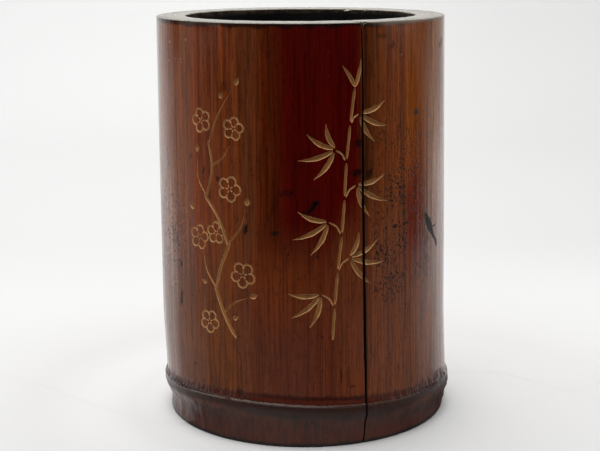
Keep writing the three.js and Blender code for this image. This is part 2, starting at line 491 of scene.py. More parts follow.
def grow_crooked(wall):
    """The node's tilt, the bend above it, and the small unevenness of a natural culm."""
    for corner in wall.data.vertices:
        x, y, z = (c / MM for c in corner.co)
        angle = math.atan2(x, -y)
        radius = math.hypot(x, y)
        outside = smooth(radius, 47.5, 53.5)
        near = smooth(z, 1, 9) * (1 - smooth(z, 22, 46))
        lift = node_lift(angle) * near * outside
        place = Vector((x, y, z))
        # long shallow waves in the skin, and wrinkles round the foot below the node
        wave = noise.noise(Vector((x / 14, y / 14, z / 90))) * 0.16
        wave += noise.noise(Vector((x / 5, y / 5, z / 60 + 7))) * 0.05
        foot = smooth(z, 0.5, 3.5) * (1 - smooth(z, 10, 13.5))
        pucker = noise.noise(Vector((x / 3.4, y / 3.4, z / 6.0 + 3))) * 0.42
        pucker += noise.noise(Vector((x / 1.6, y / 1.6, z / 3.2 + 9))) * 0.2
        level = smooth(z, 0.2, 2.0) * (1 - smooth(z, 154.5, 155.6))
        swell = (wave * level + pucker * foot) * outside
        grow = (radius + swell) / max(radius, 1e-6)
        bend = SWEEP_AT_NODE * smooth(z, NODE_HEIGHT, 45) + SWEEP_ABOVE * smooth(z, 45, CULM_HEIGHT)
        top = smooth(z, 155.2, 155.9)
        worn = top * noise.noise(place / 6.0) * 0.09
        askew = RIM_TILT * (1 - x / RIM_RADIUS) / 2 * smooth(z, 130, CULM_HEIGHT)
        off_centre = BORE_SHIFT * smooth(z, 70, 150) * (1 - outside)
        # the foot stands a little to the right of the wall above it
        aside = 0.1 * (1 - smooth(z, 12, 16)) + 0.4 * smooth(z, 1.5, 4.5) * (1 - smooth(z, 10, 13))
        aside = aside * outside - bend
        corner.co = Vector((x * grow + aside, y * grow + off_centre, z + lift + worn + askew)) * MM


def sort_faces(wall):
    """Gives each face its finish by where it lies, and each corner how deep it is carved."""
    mesh = wall.data
    depth = mesh.attributes.new("depth", "FLOAT", "POINT")
    for i, corner in enumerate(mesh.vertices):
        x, y, z = (c / MM for c in corner.co)
        below = outer_radius(z) - math.hypot(x, y)
        carved = CARVED_FROM < z < CARVED_TO and 0.012 < below < 0.7 and y < 0
        depth.data[i].value = min(below / GOUGE_DEPTH, 1.0) if carved else 0.0
    for face in mesh.polygons:
        x, y, z = (c / MM for c in face.center)
        radius = math.hypot(x, y)
        outward = (face.normal.x * x + face.normal.y * y) / max(radius, 1e-6)
        angle = math.atan2(x, -y)
        beside = (angle - CRACK_ANGLE) * radius - along(CRACK, z)[0]
        below = outer_radius(z) - radius
        deep = max(depth.data[v].value for v in face.vertices)
        finish = SKIN
        if z > CULM_HEIGHT - 0.9 and face.normal.z > 0.45:
            finish = RIM
        elif radius < LINING_RADIUS and z > 0.4:
            finish = LINING
        elif deep > 0.04 and 0.01 < below < 0.6 and CARVED_FROM < z < CARVED_TO:
            finish = CARVED
        elif face.normal.z < -0.6 and z < 1:
            finish = SPLIT
        nicked = any(abs(angle - math.radians(nick[0])) < 0.07 for nick in NICKS)
        if nicked and z > 153.6 and 0.03 < radius - inner_radius(z) < 3:
            finish = RIM
        at_edge = 143 < z < 149.5 and 1.18 < angle < 1.3
        at_crack = abs(angle - CRACK_ANGLE) < 0.05 and radius > 53.5 and 154 < z < CULM_HEIGHT - 0.08
        if (at_edge or at_crack) and below > 0.04:
            finish = SPLIT
        upright = abs(outward) < 0.35 and abs(face.normal.z) < 0.5
        if abs(beside) < 1.4 and upright and finish != CARVED:
            finish = SPLIT
        face.material_index = finish


def culm_wall():
    wall = turned("culm_skin", wall_profile(), WALL_STEPS)
    carve(wall)
    # a chip where the crack meets the rim, and two flakes off the right edge
    chips = [
        chip_tool(CRACK_ANGLE + 0.012, 56.1, 156.2, 1.7, (0.75, 1.1, 0.85)),
        chip_tool(math.radians(69.4), 55.9, 145.4, 1.3, (0.6, 0.8, 1.1)),
        chip_tool(math.radians(72.0), 55.9, 147.2, 1.4, (0.6, 0.8, 1.1)),
    ]
    chips += [chip_tool(math.radians(turn), *rest) for turn, *rest in NICKS]
    for tool in chips:
        cut_away(wall, tool)
    cut_away(wall, crack_blade())
    for angle in PIN_ANGLES:
        cut_away(wall, pin_hole(angle, BOARD_BOTTOM + PIN_LENGTH + 0.2))
    sort_faces(wall)
    grow_crooked(wall)
    softened(wall)
    return wall


def pin_hole(angle, top):
    let_go()
    bpy.ops.mesh.primitive_cylinder_add(
        vertices=32, radius=(PIN_RADIUS + 0.06) * MM, depth=(top + 5) * MM,
    )
    tool = bpy.context.object
    tool.data.transform(
        Matrix.Rotation(angle, 4, "Z")
        @ Matrix.Translation((0, -PIN_CIRCLE * MM, (top - 5) / 2 * MM))
    )
    return tool


# The floor and the foot

def septum():
    """The plate across the node, dished, curving up to meet the wall."""
    radius = SEPTUM_RADIUS
    under = LEDGE_HEIGHT + 0.05
    top = LEDGE_HEIGHT + SEPTUM_THICKNESS
    curve = curve_through(
        [
            (radius, top + SEPTUM_EDGE_RISE), (radius - 1.6, top + 0.65), (radius - 5.5, top - 0.2),
            (radius * 0.5, top - 0.9), (0, top - 1.1),
        ],
        22,
    )
    profile = [(0, under + 0.5), (radius * 0.6, under + 0.3), (radius - 5, under), (radius, under)]
    piece = turned("septum_plate", profile + curve[:-1] + [(0, top - 1.1)], FLOOR_STEPS)
    for corner in piece.data.vertices:
        x, y, z = (c / MM for c in corner.co)
        inward = 1 - smooth(math.hypot(x, y), 34, 43)
        if z > under + 1.5:
            corner.co.z += noise.noise(Vector((x / 9, y / 9, 4))) * 0.35 * inward * MM
        corner.co.x -= 0.03 * MM
    softened(piece, 50)
    return piece


def base_board():
    radius = REBATE_RADIUS - BOARD_GAP
    top = BOARD_BOTTOM + BOARD_THICKNESS
    profile = [(0, BOARD_BOTTOM)]
    profile += [(r, BOARD_BOTTOM) for r in (12, 24, 36)]
    profile += quarter_round(
        radius - BOARD_EASE, BOARD_BOTTOM + BOARD_EASE, BOARD_EASE, -math.pi / 2, 4
    )
    profile += [(radius, top), (0, top)]
    piece = turned("foot_board", profile, FLOOR_STEPS)
    for angle in PIN_ANGLES:
        cut_away(piece, pin_hole(angle, REBATE_HEIGHT + 4))
    softened(piece)
    return piece


def base_pin(number, angle):
    """A whittled bamboo pin, its faces a little uneven, cut off flush below."""
    top = BOARD_BOTTOM + PIN_LENGTH
    profile = [(0, BOARD_BOTTOM - 0.1), (PIN_RADIUS * 0.86, BOARD_BOTTOM - 0.1)]
    profile += [(PIN_RADIUS, BOARD_BOTTOM + 0.12), (PIN_RADIUS * 0.98, 4.0), (PIN_RADIUS * 0.93, 7.5)]
    profile += [(PIN_RADIUS * 0.82, top - 0.3), (PIN_RADIUS * 0.6, top), (0, top)]
    piece = turned(f"foot_pin_{number}", profile, 20)
    for corner in piece.data.vertices:
        flat = noise.noise(Vector((corner.co.x * 900, corner.co.y * 900, number * 5.0)))
        corner.co.x *= 1 + 0.05 * flat
        corner.co.y *= 1 + 0.05 * flat
    piece.data.transform(
        Matrix.Rotation(angle, 4, "Z") @ Matrix.Translation((0, -PIN_CIRCLE * MM, 0))
    )
    softened(piece, 40)
    return piece


# Finishes

class Finish:
    """A material being mixed: each call adds one node and hands back what comes out of it."""

    def __init__(self, name):
        self.material = bpy.data.materials.new(name)
        self.material.use_nodes = True
        self.tree = self.material.node_tree
        self.tree.nodes.clear()
        self.out = self.tree.nodes.new("ShaderNodeOutputMaterial")

    def put(self, kind, links=None, **settings):
        knot = self.tree.nodes.new(kind)
        for key, value in settings.items():
            setattr(knot, key, value)
        for key, value in (links or {}).items():
            socket = knot.inputs[key]
            if isinstance(value, bpy.types.NodeSocket):
                self.tree.links.new(value, socket)
            else:
                socket.default_value = value
        return knot

    def sum(self, operation, a, b=0.0, c=0.0):
        return self.put("ShaderNodeMath", {0: a, 1: b, 2: c}, operation=operation).outputs[0]

    def plus(self, a, b):
        return self.sum("ADD", a, b)

    def minus(self, a, b):
        return self.sum("SUBTRACT", a, b)

    def times(self, a, b):
        return self.sum("MULTIPLY", a, b)

    def scaled(self, value, by, start):
        return self.sum("MULTIPLY_ADD", value, by, start)

    def most(self, a, b):
        return self.sum("MAXIMUM", a, b)

    def off(self, value, middle=0.0):
        """How far value is from the middle, either way."""
        return self.sum("ABSOLUTE", self.minus(value, middle))

    def apart(self, a, b):
        """The length of the slope whose two sides are a and b."""
        return self.sum("SQRT", self.plus(self.times(a, a), self.times(b, b)))

    def band(self, value, low, high, start=0.0, end=1.0):
        """start up to low, end from high, and a smooth change between."""
        return self.put(
            "ShaderNodeMapRange",
            {"Value": value, "From Min": low, "From Max": high, "To Min": start, "To Max": end},
            interpolation_type="SMOOTHSTEP",
        ).outputs[0]

    def fade(self, value, low, high):
        return self.band(value, low, high, 1.0, 0.0)

    def within(self, value, a, b, c, d):
        """Rises from a to b, stays, and falls again from c to d."""
        return self.times(self.band(value, a, b), self.fade(value, c, d))

    def place(self):
        if not hasattr(self, "spot"):
            self.spot = self.put("ShaderNodeTexCoord").outputs["Object"]
        return self.spot

    def xyz(self):
        return self.put("ShaderNodeSeparateXYZ", {0: self.place()}).outputs

    def grain(self, size, stretch, detail, rough, shift):
        """Cloudy noise with features of about size millimetres, drawn out upwards by stretch."""
        moved = self.put(
            "ShaderNodeMapping",
            {
                "Vector": self.place(),
                "Location": (shift, shift * 0.37, shift * 1.7),
                "Scale": (1.0, 1.0, 1.0 / stretch),
            },
        ).outputs[0]
        return self.put(
            "ShaderNodeTexNoise",
            {"Vector": moved, "Scale": 1000.0 / size, "Detail": detail, "Roughness": rough},
        ).outputs["Fac"]

    def wander(self, reach, *how):
        """Noise made as grain makes it, wandering over a reach that has 0 in its middle."""
        return self.scaled(self.grain(*how), reach, -reach / 2)

    def blend(self, share, a, b, kind="MIX"):
        knot = self.put("ShaderNodeMix", data_type="RGBA", blend_type=kind, clamp_factor=True)
        for index, value in ((0, share), (6, a), (7, b)):
            socket = knot.inputs[index]
            if isinstance(value, bpy.types.NodeSocket):
                self.tree.links.new(value, socket)
            elif index == 0:
                socket.default_value = value
            else:
                socket.default_value = (*value, 1.0)
        return knot.outputs[2]

    def ramp(self, value, stops):
        knot = self.put("ShaderNodeValToRGB", {"Fac": value})
        bar = knot.color_ramp
        bar.interpolation = "EASE"
        while len(bar.elements) < len(stops):
            bar.elements.new(0.5)
        for element, (where, colour) in zip(bar.elements, stops):
            element.position = where
            element.color = (*colour, 1.0)
        return knot.outputs[0]

    def bump(self, height, distance, strength=1.0, under=None):
        links = {"Height": height, "Distance": distance * MM, "Strength": strength}
        if under:
            links["Normal"] = under
        return self.put("ShaderNodeBump", links).outputs[0]

    def done(self, colour, rough, bump=None, **settings):
        links = {"Base Color": colour, "Roughness": rough}
        if bump:
            links["Normal"] = bump
        for key, value in settings.items():
            links[key.replace("_", " ")] = value
        shader = self.put("ShaderNodeBsdfPrincipled", links)
        self.tree.links.new(shader.outputs[0], self.out.inputs[0])
        return self.material


INK = (0.004, 0.003, 0.003)
BLUE_GREY = (0.010, 0.012, 0.012)
BARE = (0.55, 0.38, 0.27)

# tones of the skin round the pot, above and below a cloudy border: turn in degrees, colour. The paler,
# greyer tones from 58 degrees round the right side, fading by 112, are painted reflection of the
# bright surroundings at the side
UPPER_TONES = [
    (-180, (0.42, 0.115, 0.028)), (-95, (0.36, 0.10, 0.02)), (-55, (0.49, 0.122, 0.018)),
    (-41, (0.39, 0.070, 0.006)), (-29, (0.46, 0.096, 0.016)), (-21, (0.36, 0.085, 0.018)),
    (-14, (0.22, 0.032, 0.004)), (-5, (0.17, 0.004, 0.0)), (18, (0.18, 0.002, 0.0)),
    (25, (0.22, 0.055, 0.013)), (36, (0.48, 0.112, 0.020)), (44, (0.62, 0.148, 0.010)),
    (53, (0.54, 0.130, 0.010)), (58, (0.56, 0.205, 0.065)), (76, (0.515, 0.198, 0.072)),
    (112, (0.43, 0.125, 0.035)), (180, (0.42, 0.115, 0.028)),
]
LOWER_TONES = [
    (-180, (0.33, 0.085, 0.020)), (-95, (0.28, 0.080, 0.016)), (-52, (0.31, 0.078, 0.012)),
    (-30, (0.34, 0.088, 0.015)), (-18, (0.31, 0.068, 0.017)), (-6, (0.24, 0.048, 0.015)),
    (8, (0.28, 0.058, 0.018)), (18, (0.35, 0.078, 0.022)), (26, (0.38, 0.098, 0.030)),
    (40, (0.41, 0.112, 0.036)), (50, (0.37, 0.100, 0.028)), (95, (0.34, 0.10, 0.028)),
    (180, (0.33, 0.085, 0.020)),
]

# where the mildew specks lie thickest: turn, height, half-width in degrees, half-height
MILDEW = [
    (35.5, 60.0, 5.0, 6.5), (28.0, 76.0, 1.6, 6.0), (31.5, 71.0, 2.2, 3.5), (39.0, 74.0, 3.0, 4.5),
    (54.0, 70.5, 2.2, 7.0), (51.0, 60.5, 4.5, 5.0), (37.5, 96.0, 4.0, 6.0), (-56.0, 76.0, 6.0, 9.0),
]

# single stains and flaws: turn, height, half-width and half-height in mm, strength, lean, colour
MARKS = [
    (48.0, 122.6, 2.0, 1.2, 0.9, 0.0, (0.035, 0.045, 0.05)),
    (19.6, 103.0, 2.1, 1.4, 0.85, 0.2, INK), (24.8, 102.6, 1.4, 1.7, 0.7, 0.3, INK),
    (20.0, 113.6, 1.4, 1.7, 0.75, 0.2, INK), (2.2, 90.4, 1.0, 2.7, 0.85, 0.75, INK),
    (3.6, 92.6, 1.3, 1.3, 0.8, 0.4, INK), (-0.5, 89.0, 1.0, 0.9, 0.8, 0.0, INK),
    (-55.4, 65.4, 0.85, 1.6, 0.98, 0.0, INK), (-55.4, 51.4, 0.80, 3.7, 0.98, 0.05, INK),
    (-22.4, 82.6, 0.9, 1.9, 0.9, 0.2, INK),
    (-11.2, 81.6, 1.5, 1.3, 0.75, 0.2, (0.012, 0.010, 0.006)),
    (-7.0, 96.5, 3.2, 1.6, 0.5, 0.2, INK), (-40.6, 102.6, 0.45, 1.6, 0.9, 0.2, INK),
    (-47.2, 107.8, 0.4, 1.1, 0.8, 0.0, INK), (-33.8, 100.3, 0.7, 0.9, 0.7, 0.0, INK),
    (-30.5, 134.0, 1.2, 2.4, 0.45, 0.2, INK), (-47.6, 27.7, 0.7, 0.8, 0.8, 0.0, INK),
    (-26.0, 20.4, 1.7, 1.3, 0.55, 0.0, INK), (13.1, 27.4, 0.3, 2.8, 0.85, 0.0, INK),
    (17.8, 23.2, 1.6, 0.6, 0.5, 0.0, INK), (35.0, 147.5, 1.4, 1.6, 0.5, 0.5, INK),
    (30.0, 151.0, 2.2, 0.9, 0.4, 0.0, INK), (61.2, 118.0, 0.3, 9.0, 0.9, 0.0, INK),
    (55.6, 82.2, 1.5, 1.6, 0.9, -0.4, BLUE_GREY), (62.2, 77.7, 1.3, 0.55, 0.95, 1.0, BLUE_GREY),
    (70.6, 146.3, 0.5, 1.5, 0.9, 0.5, INK), (54.2, 79.0, 0.4, 15.0, 0.65, 0.0, INK),
    (56.4, 74.4, 0.4, 1.8, 0.6, 0.5, INK), (36.1, 81.6, 0.9, 0.7, 0.9, 0.4, INK),
    (38.9, 81.3, 0.7, 0.5, 0.8, 0.8, INK), (41.6, 82.1, 1.4, 0.45, 0.85, 1.2, INK),
    (-49.0, 149.5, 0.3, 0.35, 0.9, 0.0, BARE), (-60.6, 148.1, 0.4, 0.35, 0.8, 0.0, BARE),
    (-52.4, 142.4, 0.4, 0.3, 0.8, 0.0, BARE), (-52.0, 141.2, 0.3, 0.5, 0.7, 0.0, BARE),
    (-62.1, 141.2, 0.4, 0.3, 0.7, 0.0, BARE), (-56.0, 142.2, 0.5, 0.25, 0.5, 0.0, BARE),
    (39.5, 144.1, 0.3, 0.4, 0.6, 0.0, BARE), (104.0, 112.0, 0.6, 0.8, 0.8, 0.0, INK),
    (121.0, 49.0, 1.3, 1.7, 0.7, 0.2, INK), (149.0, 121.0, 0.4, 5.5, 0.7, 0.0, INK),
    (168.0, 88.0, 1.8, 1.4, 0.7, -0.3, INK), (-163.0, 133.0, 0.9, 1.3, 0.8, 0.4, INK),
    (-137.0, 42.0, 0.7, 3.4, 0.6, 0.0, INK), (-118.0, 104.0, 1.1, 1.8, 0.7, 0.3, INK),
]


class SkinFinish(Finish):
    """Old bamboo skin: handled to a deep red-brown, streaked along the fibres, stained and speckled.

    height is in mm, turn in degrees from the front, and colour is the colour laid so far.
    """

    def __init__(self):
        super().__init__("bamboo skin")
        x, y, z = self.xyz()
        self.height = self.times(z, 1000)
        self.turn = self.times(self.sum("ARCTAN2", x, self.times(y, -1.0)), math.degrees(1))
        # the marks of the two sides die away round the back, where the turn's two ends meet
        near, far = BACK_FADE
        self.right_part = self.fade(self.turn, near, far)
        self.left_part = self.band(self.turn, -far, -near)
        self.fine = self.grain(0.55, 45, 2.0, 0.6, 1.1)
        self.middle = self.grain(2.2, 60, 3.0, 0.6, 2.3)
        self.wide = self.grain(7.0, 30, 2.0, 0.5, 3.7)
        self.cloud = self.grain(28.0, 2.0, 3.0, 0.5, 5.2)
        self.swayed = self.plus(self.turn, self.times(self.minus(self.wide, 0.5), 14.0))
        self.above = self.above_scar()
        self.ragged = self.plus(self.above, self.wander(5.0, 1.3, 5, 2.0, 0.6, 4.4))

    def coat(self, share, tint):
        self.colour = self.blend(share, self.colour, tint)

    def stained(self, tint):
        return self.blend(1.0, self.colour, tint, "MULTIPLY")

    def patch(self, turn, height, half_turn, half_height, soft=0.55):
        """A soft oval round the given turn and height."""
        a = self.sum("DIVIDE", self.minus(self.swayed, turn), half_turn)
        b = self.sum("DIVIDE", self.minus(self.height, height), half_height)
        return self.fade(self.apart(a, b), 1.0 - soft, 1.0 + soft)

    def above_scar(self):
        """How far a place is above the scar line, which waves as the node does."""
        above = self.minus(self.height, SCAR_HEIGHT)
        for rise, times, start in NODE_WAVES:
            wave = self.sum("COSINE", self.scaled(self.turn, math.radians(times), math.radians(start)))
            above = self.scaled(wave, -rise, above)
        dip = self.times(self.band(self.turn, *DIP_START, 0.0, NODE_DIP), self.right_part)
        return self.plus(above, dip)


def lay_tones(f):
    """The large zones: two rings of colour with a cloudy border between, and two patches."""
    place = f.scaled(f.swayed, 1 / 360, 0.5)
    upper, lower = (
        f.ramp(place, [((turn + 180) / 360, tint) for turn, tint in tones])
        for tones in (UPPER_TONES, LOWER_TONES)
    )
    wobble = f.scaled(f.cloud, 44.0, -22.0)
    raised = f.times(f.band(f.turn, 6, 15, 0.0, 16.0), f.right_part)
    border = f.minus(f.plus(f.height, wobble), raised)
    f.colour = f.blend(f.band(border, 54, 86), lower, upper)
    f.coat(f.band(f.height, 14, 44, 0.2, 0.0), (0.10, 0.035, 0.020))
    # a warmer, more orange patch in the middle of the front, and a red one by the right edge
    f.coat(f.times(f.patch(-12, 60, 16, 13, 0.8), 0.65), (0.40, 0.072, 0.006))
    f.coat(f.times(f.patch(47, 84, 6, 20, 0.8), 0.85), (0.34, 0.030, 0.008))


def lay_streaks(f):
    """Streaks along the fibres: dull mauve ones at the sides, dark and warm ones all round."""
    side = f.band(f.off(f.turn, 3), 14, 27)
    dull_streak = f.band(f.grain(4.2, 55, 5.0, 0.72, 14.5), 0.46, 0.58)
    dull = f.blend(0.34, f.colour, (0.20, 0.075, 0.045))
    f.coat(f.times(dull_streak, side), dull)
    dark_streak = f.fade(f.middle, 0.40, 0.53)
    f.coat(f.times(dark_streak, 0.38), f.stained((0.45, 0.38, 0.42)))
    warm_streak = f.band(f.grain(4.0, 60, 5.0, 0.72, 8.8), 0.50, 0.64)
    warm_share = f.scaled(side, 0.10, f.band(f.height, 30, 90, 0.14, 0.26))
    f.coat(f.times(warm_streak, warm_share), f.stained((1.5, 1.22, 0.9)))
    hair = f.stained((0.32, 0.28, 0.34))
    f.coat(f.band(f.fine, 0.34, 0.60, 0.6, 0.0), hair)
    f.coat(f.band(f.grain(0.8, 4, 3.0, 0.7, 41.0), 0.52, 0.68, 0.0, 0.6), hair)
    # soft sooty smudges
    smudge = f.band(f.grain(5.5, 3.5, 4.0, 0.62, 31.0), 0.58, 0.76, 0.0, 0.42)
    f.coat(smudge, f.stained((0.30, 0.26, 0.34)))


def lay_fibre_ends(f):
    """Above the scar: dark ticks of fibre ends, soot at the sides, and a smear in front."""
    shown = f.times(f.fade(f.ragged, 1.4, 4.8), f.band(f.above, 0.2, 0.7))
    ticks = f.times(f.band(f.grain(1.2, 6, 1.0, 0.5, 6.1), 0.44, 0.52), shown)
    strength = f.band(f.off(f.turn, 2), 16, 38, 0.15, 0.95)
    f.ticks = f.times(ticks, strength)
    f.coat(f.ticks, (0.006, 0.004, 0.003))
    soot = f.times(f.band(f.above, 0.1, 0.5), f.fade(f.ragged, 0.2, 3.4))
    outer_ends = f.band(f.off(f.turn, 5), 32, 50, 0.0, 0.7)
    f.coat(f.times(soot, outer_ends), (0.012, 0.007, 0.006))
    uneven = f.plus(f.above, f.wander(2.4, 3.0, 0.7, 2.0, 0.6, 17.0))
    blush = f.times(f.band(f.above, 0.3, 1.0), f.fade(uneven, 2.6, 3.6))
    f.coat(f.times(blush, 0.75), (0.095, 0.016, 0.010))
    steady = f.plus(f.above, f.wander(1.6, 3.0, 0.7, 3.0, 0.65, 17.5))
    smear = f.within(steady, 1.9, 2.7, 3.0, 4.4)
    front = f.band(f.turn, -28, -14, 0.0, 0.75)
    front = f.times(front, f.band(f.turn, 21, 25, 1.0, 0.15))
    front = f.times(front, f.right_part)
    f.coat(f.times(smear, front), (0.034, 0.004, 0.002))


def lay_foot(f):
    """Browner below the scar, with a dark band next to it, painted shade where the node's underside
    faces down, and a dark line at the ground, painted shadow under the foot's turned-under edge.
    """
    streak = f.band(f.grain(1.5, 6, 3.0, 0.65, 19.0), 0.38, 0.62)
    brown = f.blend(streak, (0.050, 0.015, 0.009), (0.115, 0.026, 0.009))
    brown = f.blend(f.band(f.cloud, 0.45, 0.65, 0.0, 0.25), brown, (0.11, 0.028, 0.011))
    redder = f.times(f.band(f.turn, 10, 28, 0.0, 0.7), f.right_part)
    reddish = f.times(f.fade(f.ragged, -11.0, -8.5), f.plus(redder, 0.3))
    brown = f.blend(reddish, brown, (0.112, 0.019, 0.007))
    f.coat(f.fade(f.ragged, -5.0, -2.5), brown)
    # the dark band just under the scar is painted shade, where the ring's underside faces the floor
    depth = f.band(f.off(f.turn, 6), 18, 44, 0.0, 2.0)
    clouded = f.plus(f.scaled(f.cloud, 4.0, -2.0), f.minus(f.above, depth))
    f.below = f.times(f.fade(f.above, -0.35, -0.05), f.band(clouded, -6.4, -4.0))
    f.coat(f.times(f.below, 0.88), (0.028, 0.014, 0.011))
    # a near-black line at the ground: painted shadow under the foot's eased bottom edge
    worn = f.plus(f.height, f.wander(1.4, 4.0, 1, 2.0, 0.6, 33.0))
    f.coat(f.times(f.fade(worn, 0.8, 1.9), 0.97), (0.004, 0.003, 0.002))


def lay_scar(f):
    """The scar: a dark line, here and there with a pale painted highlight on the lit side, and its
    groove.
    """
    line = f.within(f.above, -0.32, -0.05, 0.12, 0.40)
    f.coat(f.times(line, 0.95), (0.038, 0.023, 0.019))
    broken = f.band(f.grain(6.0, 1, 2.0, 0.6, 9.9), 0.34, 0.50)
    # the pale line on the scar at the left of the front is a painted highlight
    lit_side = f.band(f.off(f.turn, -21), 28, 34, 0.85, 0.14)
    lit_side = f.times(lit_side, f.times(f.fade(f.turn, 42, 54), f.left_part))
    f.coat(f.times(line, f.times(broken, lit_side)), (0.26, 0.19, 0.15))
    groove = f.within(f.above, 0.12, 0.34, 0.7, 1.1)
    groove = f.times(groove, f.band(f.off(f.turn), 34, 56, 0.62, 0.9))
    f.coat(groove, (0.02, 0.009, 0.007))


def lay_mildew(f):
    """Mildew specks, thick on the right and thinner by the left edge."""
    lie = f.put("ShaderNodeMapping", {"Vector": f.place(), "Scale": (1, 1, 0.62)}).outputs[0]
    cells = f.put("ShaderNodeTexVoronoi", {"Vector": lie, "Scale": 1500.0})
    size = f.put("ShaderNodeSeparateColor", {0: cells.outputs["Color"]}).outputs[0]
    room = f.minus(f.scaled(size, 0.66, -0.06), cells.outputs["Distance"])
    clusters = 0.0
    for place in MILDEW:
        clusters = f.most(clusters, f.patch(*place))
    dot = f.band(f.scaled(clusters, 0.15, room), -0.06, 0.10)
    right = f.within(f.turn, 24, 27, 50, 68)
    right = f.times(right, f.within(f.height, 42, 66, 110, 130))
    left = f.times(f.band(f.turn, -58, -42, 0.9, 0.0), f.left_part)
    left = f.times(left, f.within(f.height, 34, 60, 98, 124))
    thicker = f.times(f.band(f.height, 84, 100, 0.05, 0.0), f.band(f.height, 50, 62))
    thicker = f.most(thicker, f.times(clusters, 0.24))
    clouded = f.plus(f.grain(5.0, 1.6, 3.0, 0.6, 12.0), thicker)
    patchy = f.times(f.band(clouded, 0.39, 0.56), f.most(right, left))
    thin = f.times(f.band(f.grain(5.0, 1.6, 2.0, 0.6, 15.0), 0.60, 0.68), 0.7)
    thin = f.times(thin, f.band(f.height, 100, 125, 1.0, 0.3))
    f.specks = f.times(dot, f.most(patchy, thin))
    f.coat(f.times(f.specks, 0.9), (0.012, 0.008, 0.006))


def lay_flakes(f):
    """A few pale pits where the skin has flaked."""
    pits = f.put("ShaderNodeTexVoronoi", {"Vector": f.place(), "Scale": 240.0})
    chosen = f.put("ShaderNodeSeparateColor", {0: pits.outputs["Color"]}).outputs[1]
    pit = f.sum("LESS_THAN", pits.outputs["Distance"], f.band(chosen, 0.60, 1.0, 0.0, 0.085))
    flaked = f.times(f.band(f.turn, -48, -36, 0.88, 0.0), f.left_part)
    flaked = f.times(f.plus(flaked, 0.12), f.band(f.height, 90, 120, 0.3, 1.0))
    f.coat(f.times(pit, f.times(flaked, 0.8)), (0.62, 0.38, 0.22))


def lay_stains(f):
    """The single stains and flaws, each with a frayed edge."""
    f.dulled = 0.0
    for turn, up, half_w, half_h, share, lean, tint in MARKS:
        b = f.minus(f.height, up)
        a = f.times(f.minus(f.turn, turn), SKIN_RADIUS * math.radians(1))
        a = f.sum("DIVIDE", f.minus(a, f.times(b, lean)), half_w)
        b = f.sum("DIVIDE", b, half_h)
        edge = f.plus(f.apart(a, b), f.wander(2.2, 1.1, 1.5, 2.0, 0.6, up))
        stain = f.times(f.fade(edge, 0.55, 1.25), share)
        f.coat(stain, tint)
        f.dulled = f.most(stain, f.dulled)


def lay_scratch(f):
    """The slanting knife scratch at the right, broad in the middle."""
    a = f.minus(f.turn, 59.6)
    b = f.minus(f.height, 76.6)
    length_way = f.plus(f.times(a, -0.62), f.times(b, 0.78))
    cross_way = f.plus(f.times(a, 0.78), f.times(b, 0.62))
    cross = f.off(f.plus(cross_way, f.wander(2.0, 5, 1, 2, 0.6, 21.0)))
    breadth = f.band(length_way, -4.0, 2.5, 0.7, 2.0)
    breadth = f.times(breadth, f.band(length_way, 4.0, 9.5, 1.0, 0.25))
    cross = f.sum("DIVIDE", cross, breadth)
    ends = f.fade(f.off(length_way), 8.6, 10.0)
    scratch = f.times(f.fade(cross, 0.75, 1.25), ends)
    f.coat(f.times(scratch, 0.95), (0.008, 0.009, 0.010))
    f.dulled = f.most(scratch, f.dulled)


def lay_edges(f):
    """The crack's lips, rubbed dark, and the lines under the rim."""
    lips = f.fade(f.off(f.turn, 23.0), 0.4, 1.0)
    f.coat(f.times(lips, 0.4), (0.014, 0.005, 0.004))
    frayed = f.plus(f.height, f.wander(3.0, 5.0, 0.8, 3.0, 0.6, 27.0))
    darker = f.times(f.band(f.turn, 32, 50, 0.60, 0.0), f.left_part)
    under_rim = f.times(f.band(frayed, 154.0, 155.2), f.plus(darker, 0.25))
    f.coat(under_rim, (0.010, 0.006, 0.005))
    even = f.plus(f.height, f.wander(0.8, 9.0, 0.8, 1.0, 0.5, 28.0))
    rubbed = f.times(f.band(even, 154.3, 155.6), f.band(f.turn, 22, 34, 0.0, 0.75))
    f.coat(f.times(rubbed, f.right_part), (0.34, 0.28, 0.22))


def polished(f):
    """The shine, dulled on the foot and in the flaws, and the fine relief."""
    dull_foot = f.scaled(f.below, 0.16, f.band(f.above, -3.0, -0.5, 0.16, 0.0))
    flaws = f.most(f.most(f.times(f.specks, 0.5), f.ticks), f.dulled)
    flaws = f.times(flaws, f.band(f.off(f.turn), 46, 56, 0.06, 0.45))
    rough = f.plus(f.band(f.middle, 0.3, 0.7, 0.08, 0.20), f.most(dull_foot, flaws))
    relief = f.bump(f.fine, 0.03, 0.8)
    relief = f.bump(f.middle, 0.16, 0.9, relief)
    relief = f.bump(f.wide, 0.30, 0.8, relief)
    relief = f.bump(f.times(f.ticks, -1.0), 0.30, 0.9, relief)
    relief = f.bump(f.times(f.specks, -1.0), 0.05, 0.6, relief)
    return f.done(f.colour, rough, relief, Specular_IOR_Level=0.35)


def skin_finish():
    skin = SkinFinish()
    skin_layers = (
        lay_tones, lay_streaks, lay_fibre_ends, lay_foot, lay_scar,
        lay_mildew, lay_flakes, lay_stains, lay_scratch, lay_edges,
    )
    for lay in skin_layers:
        lay(skin)
    return polished(skin)


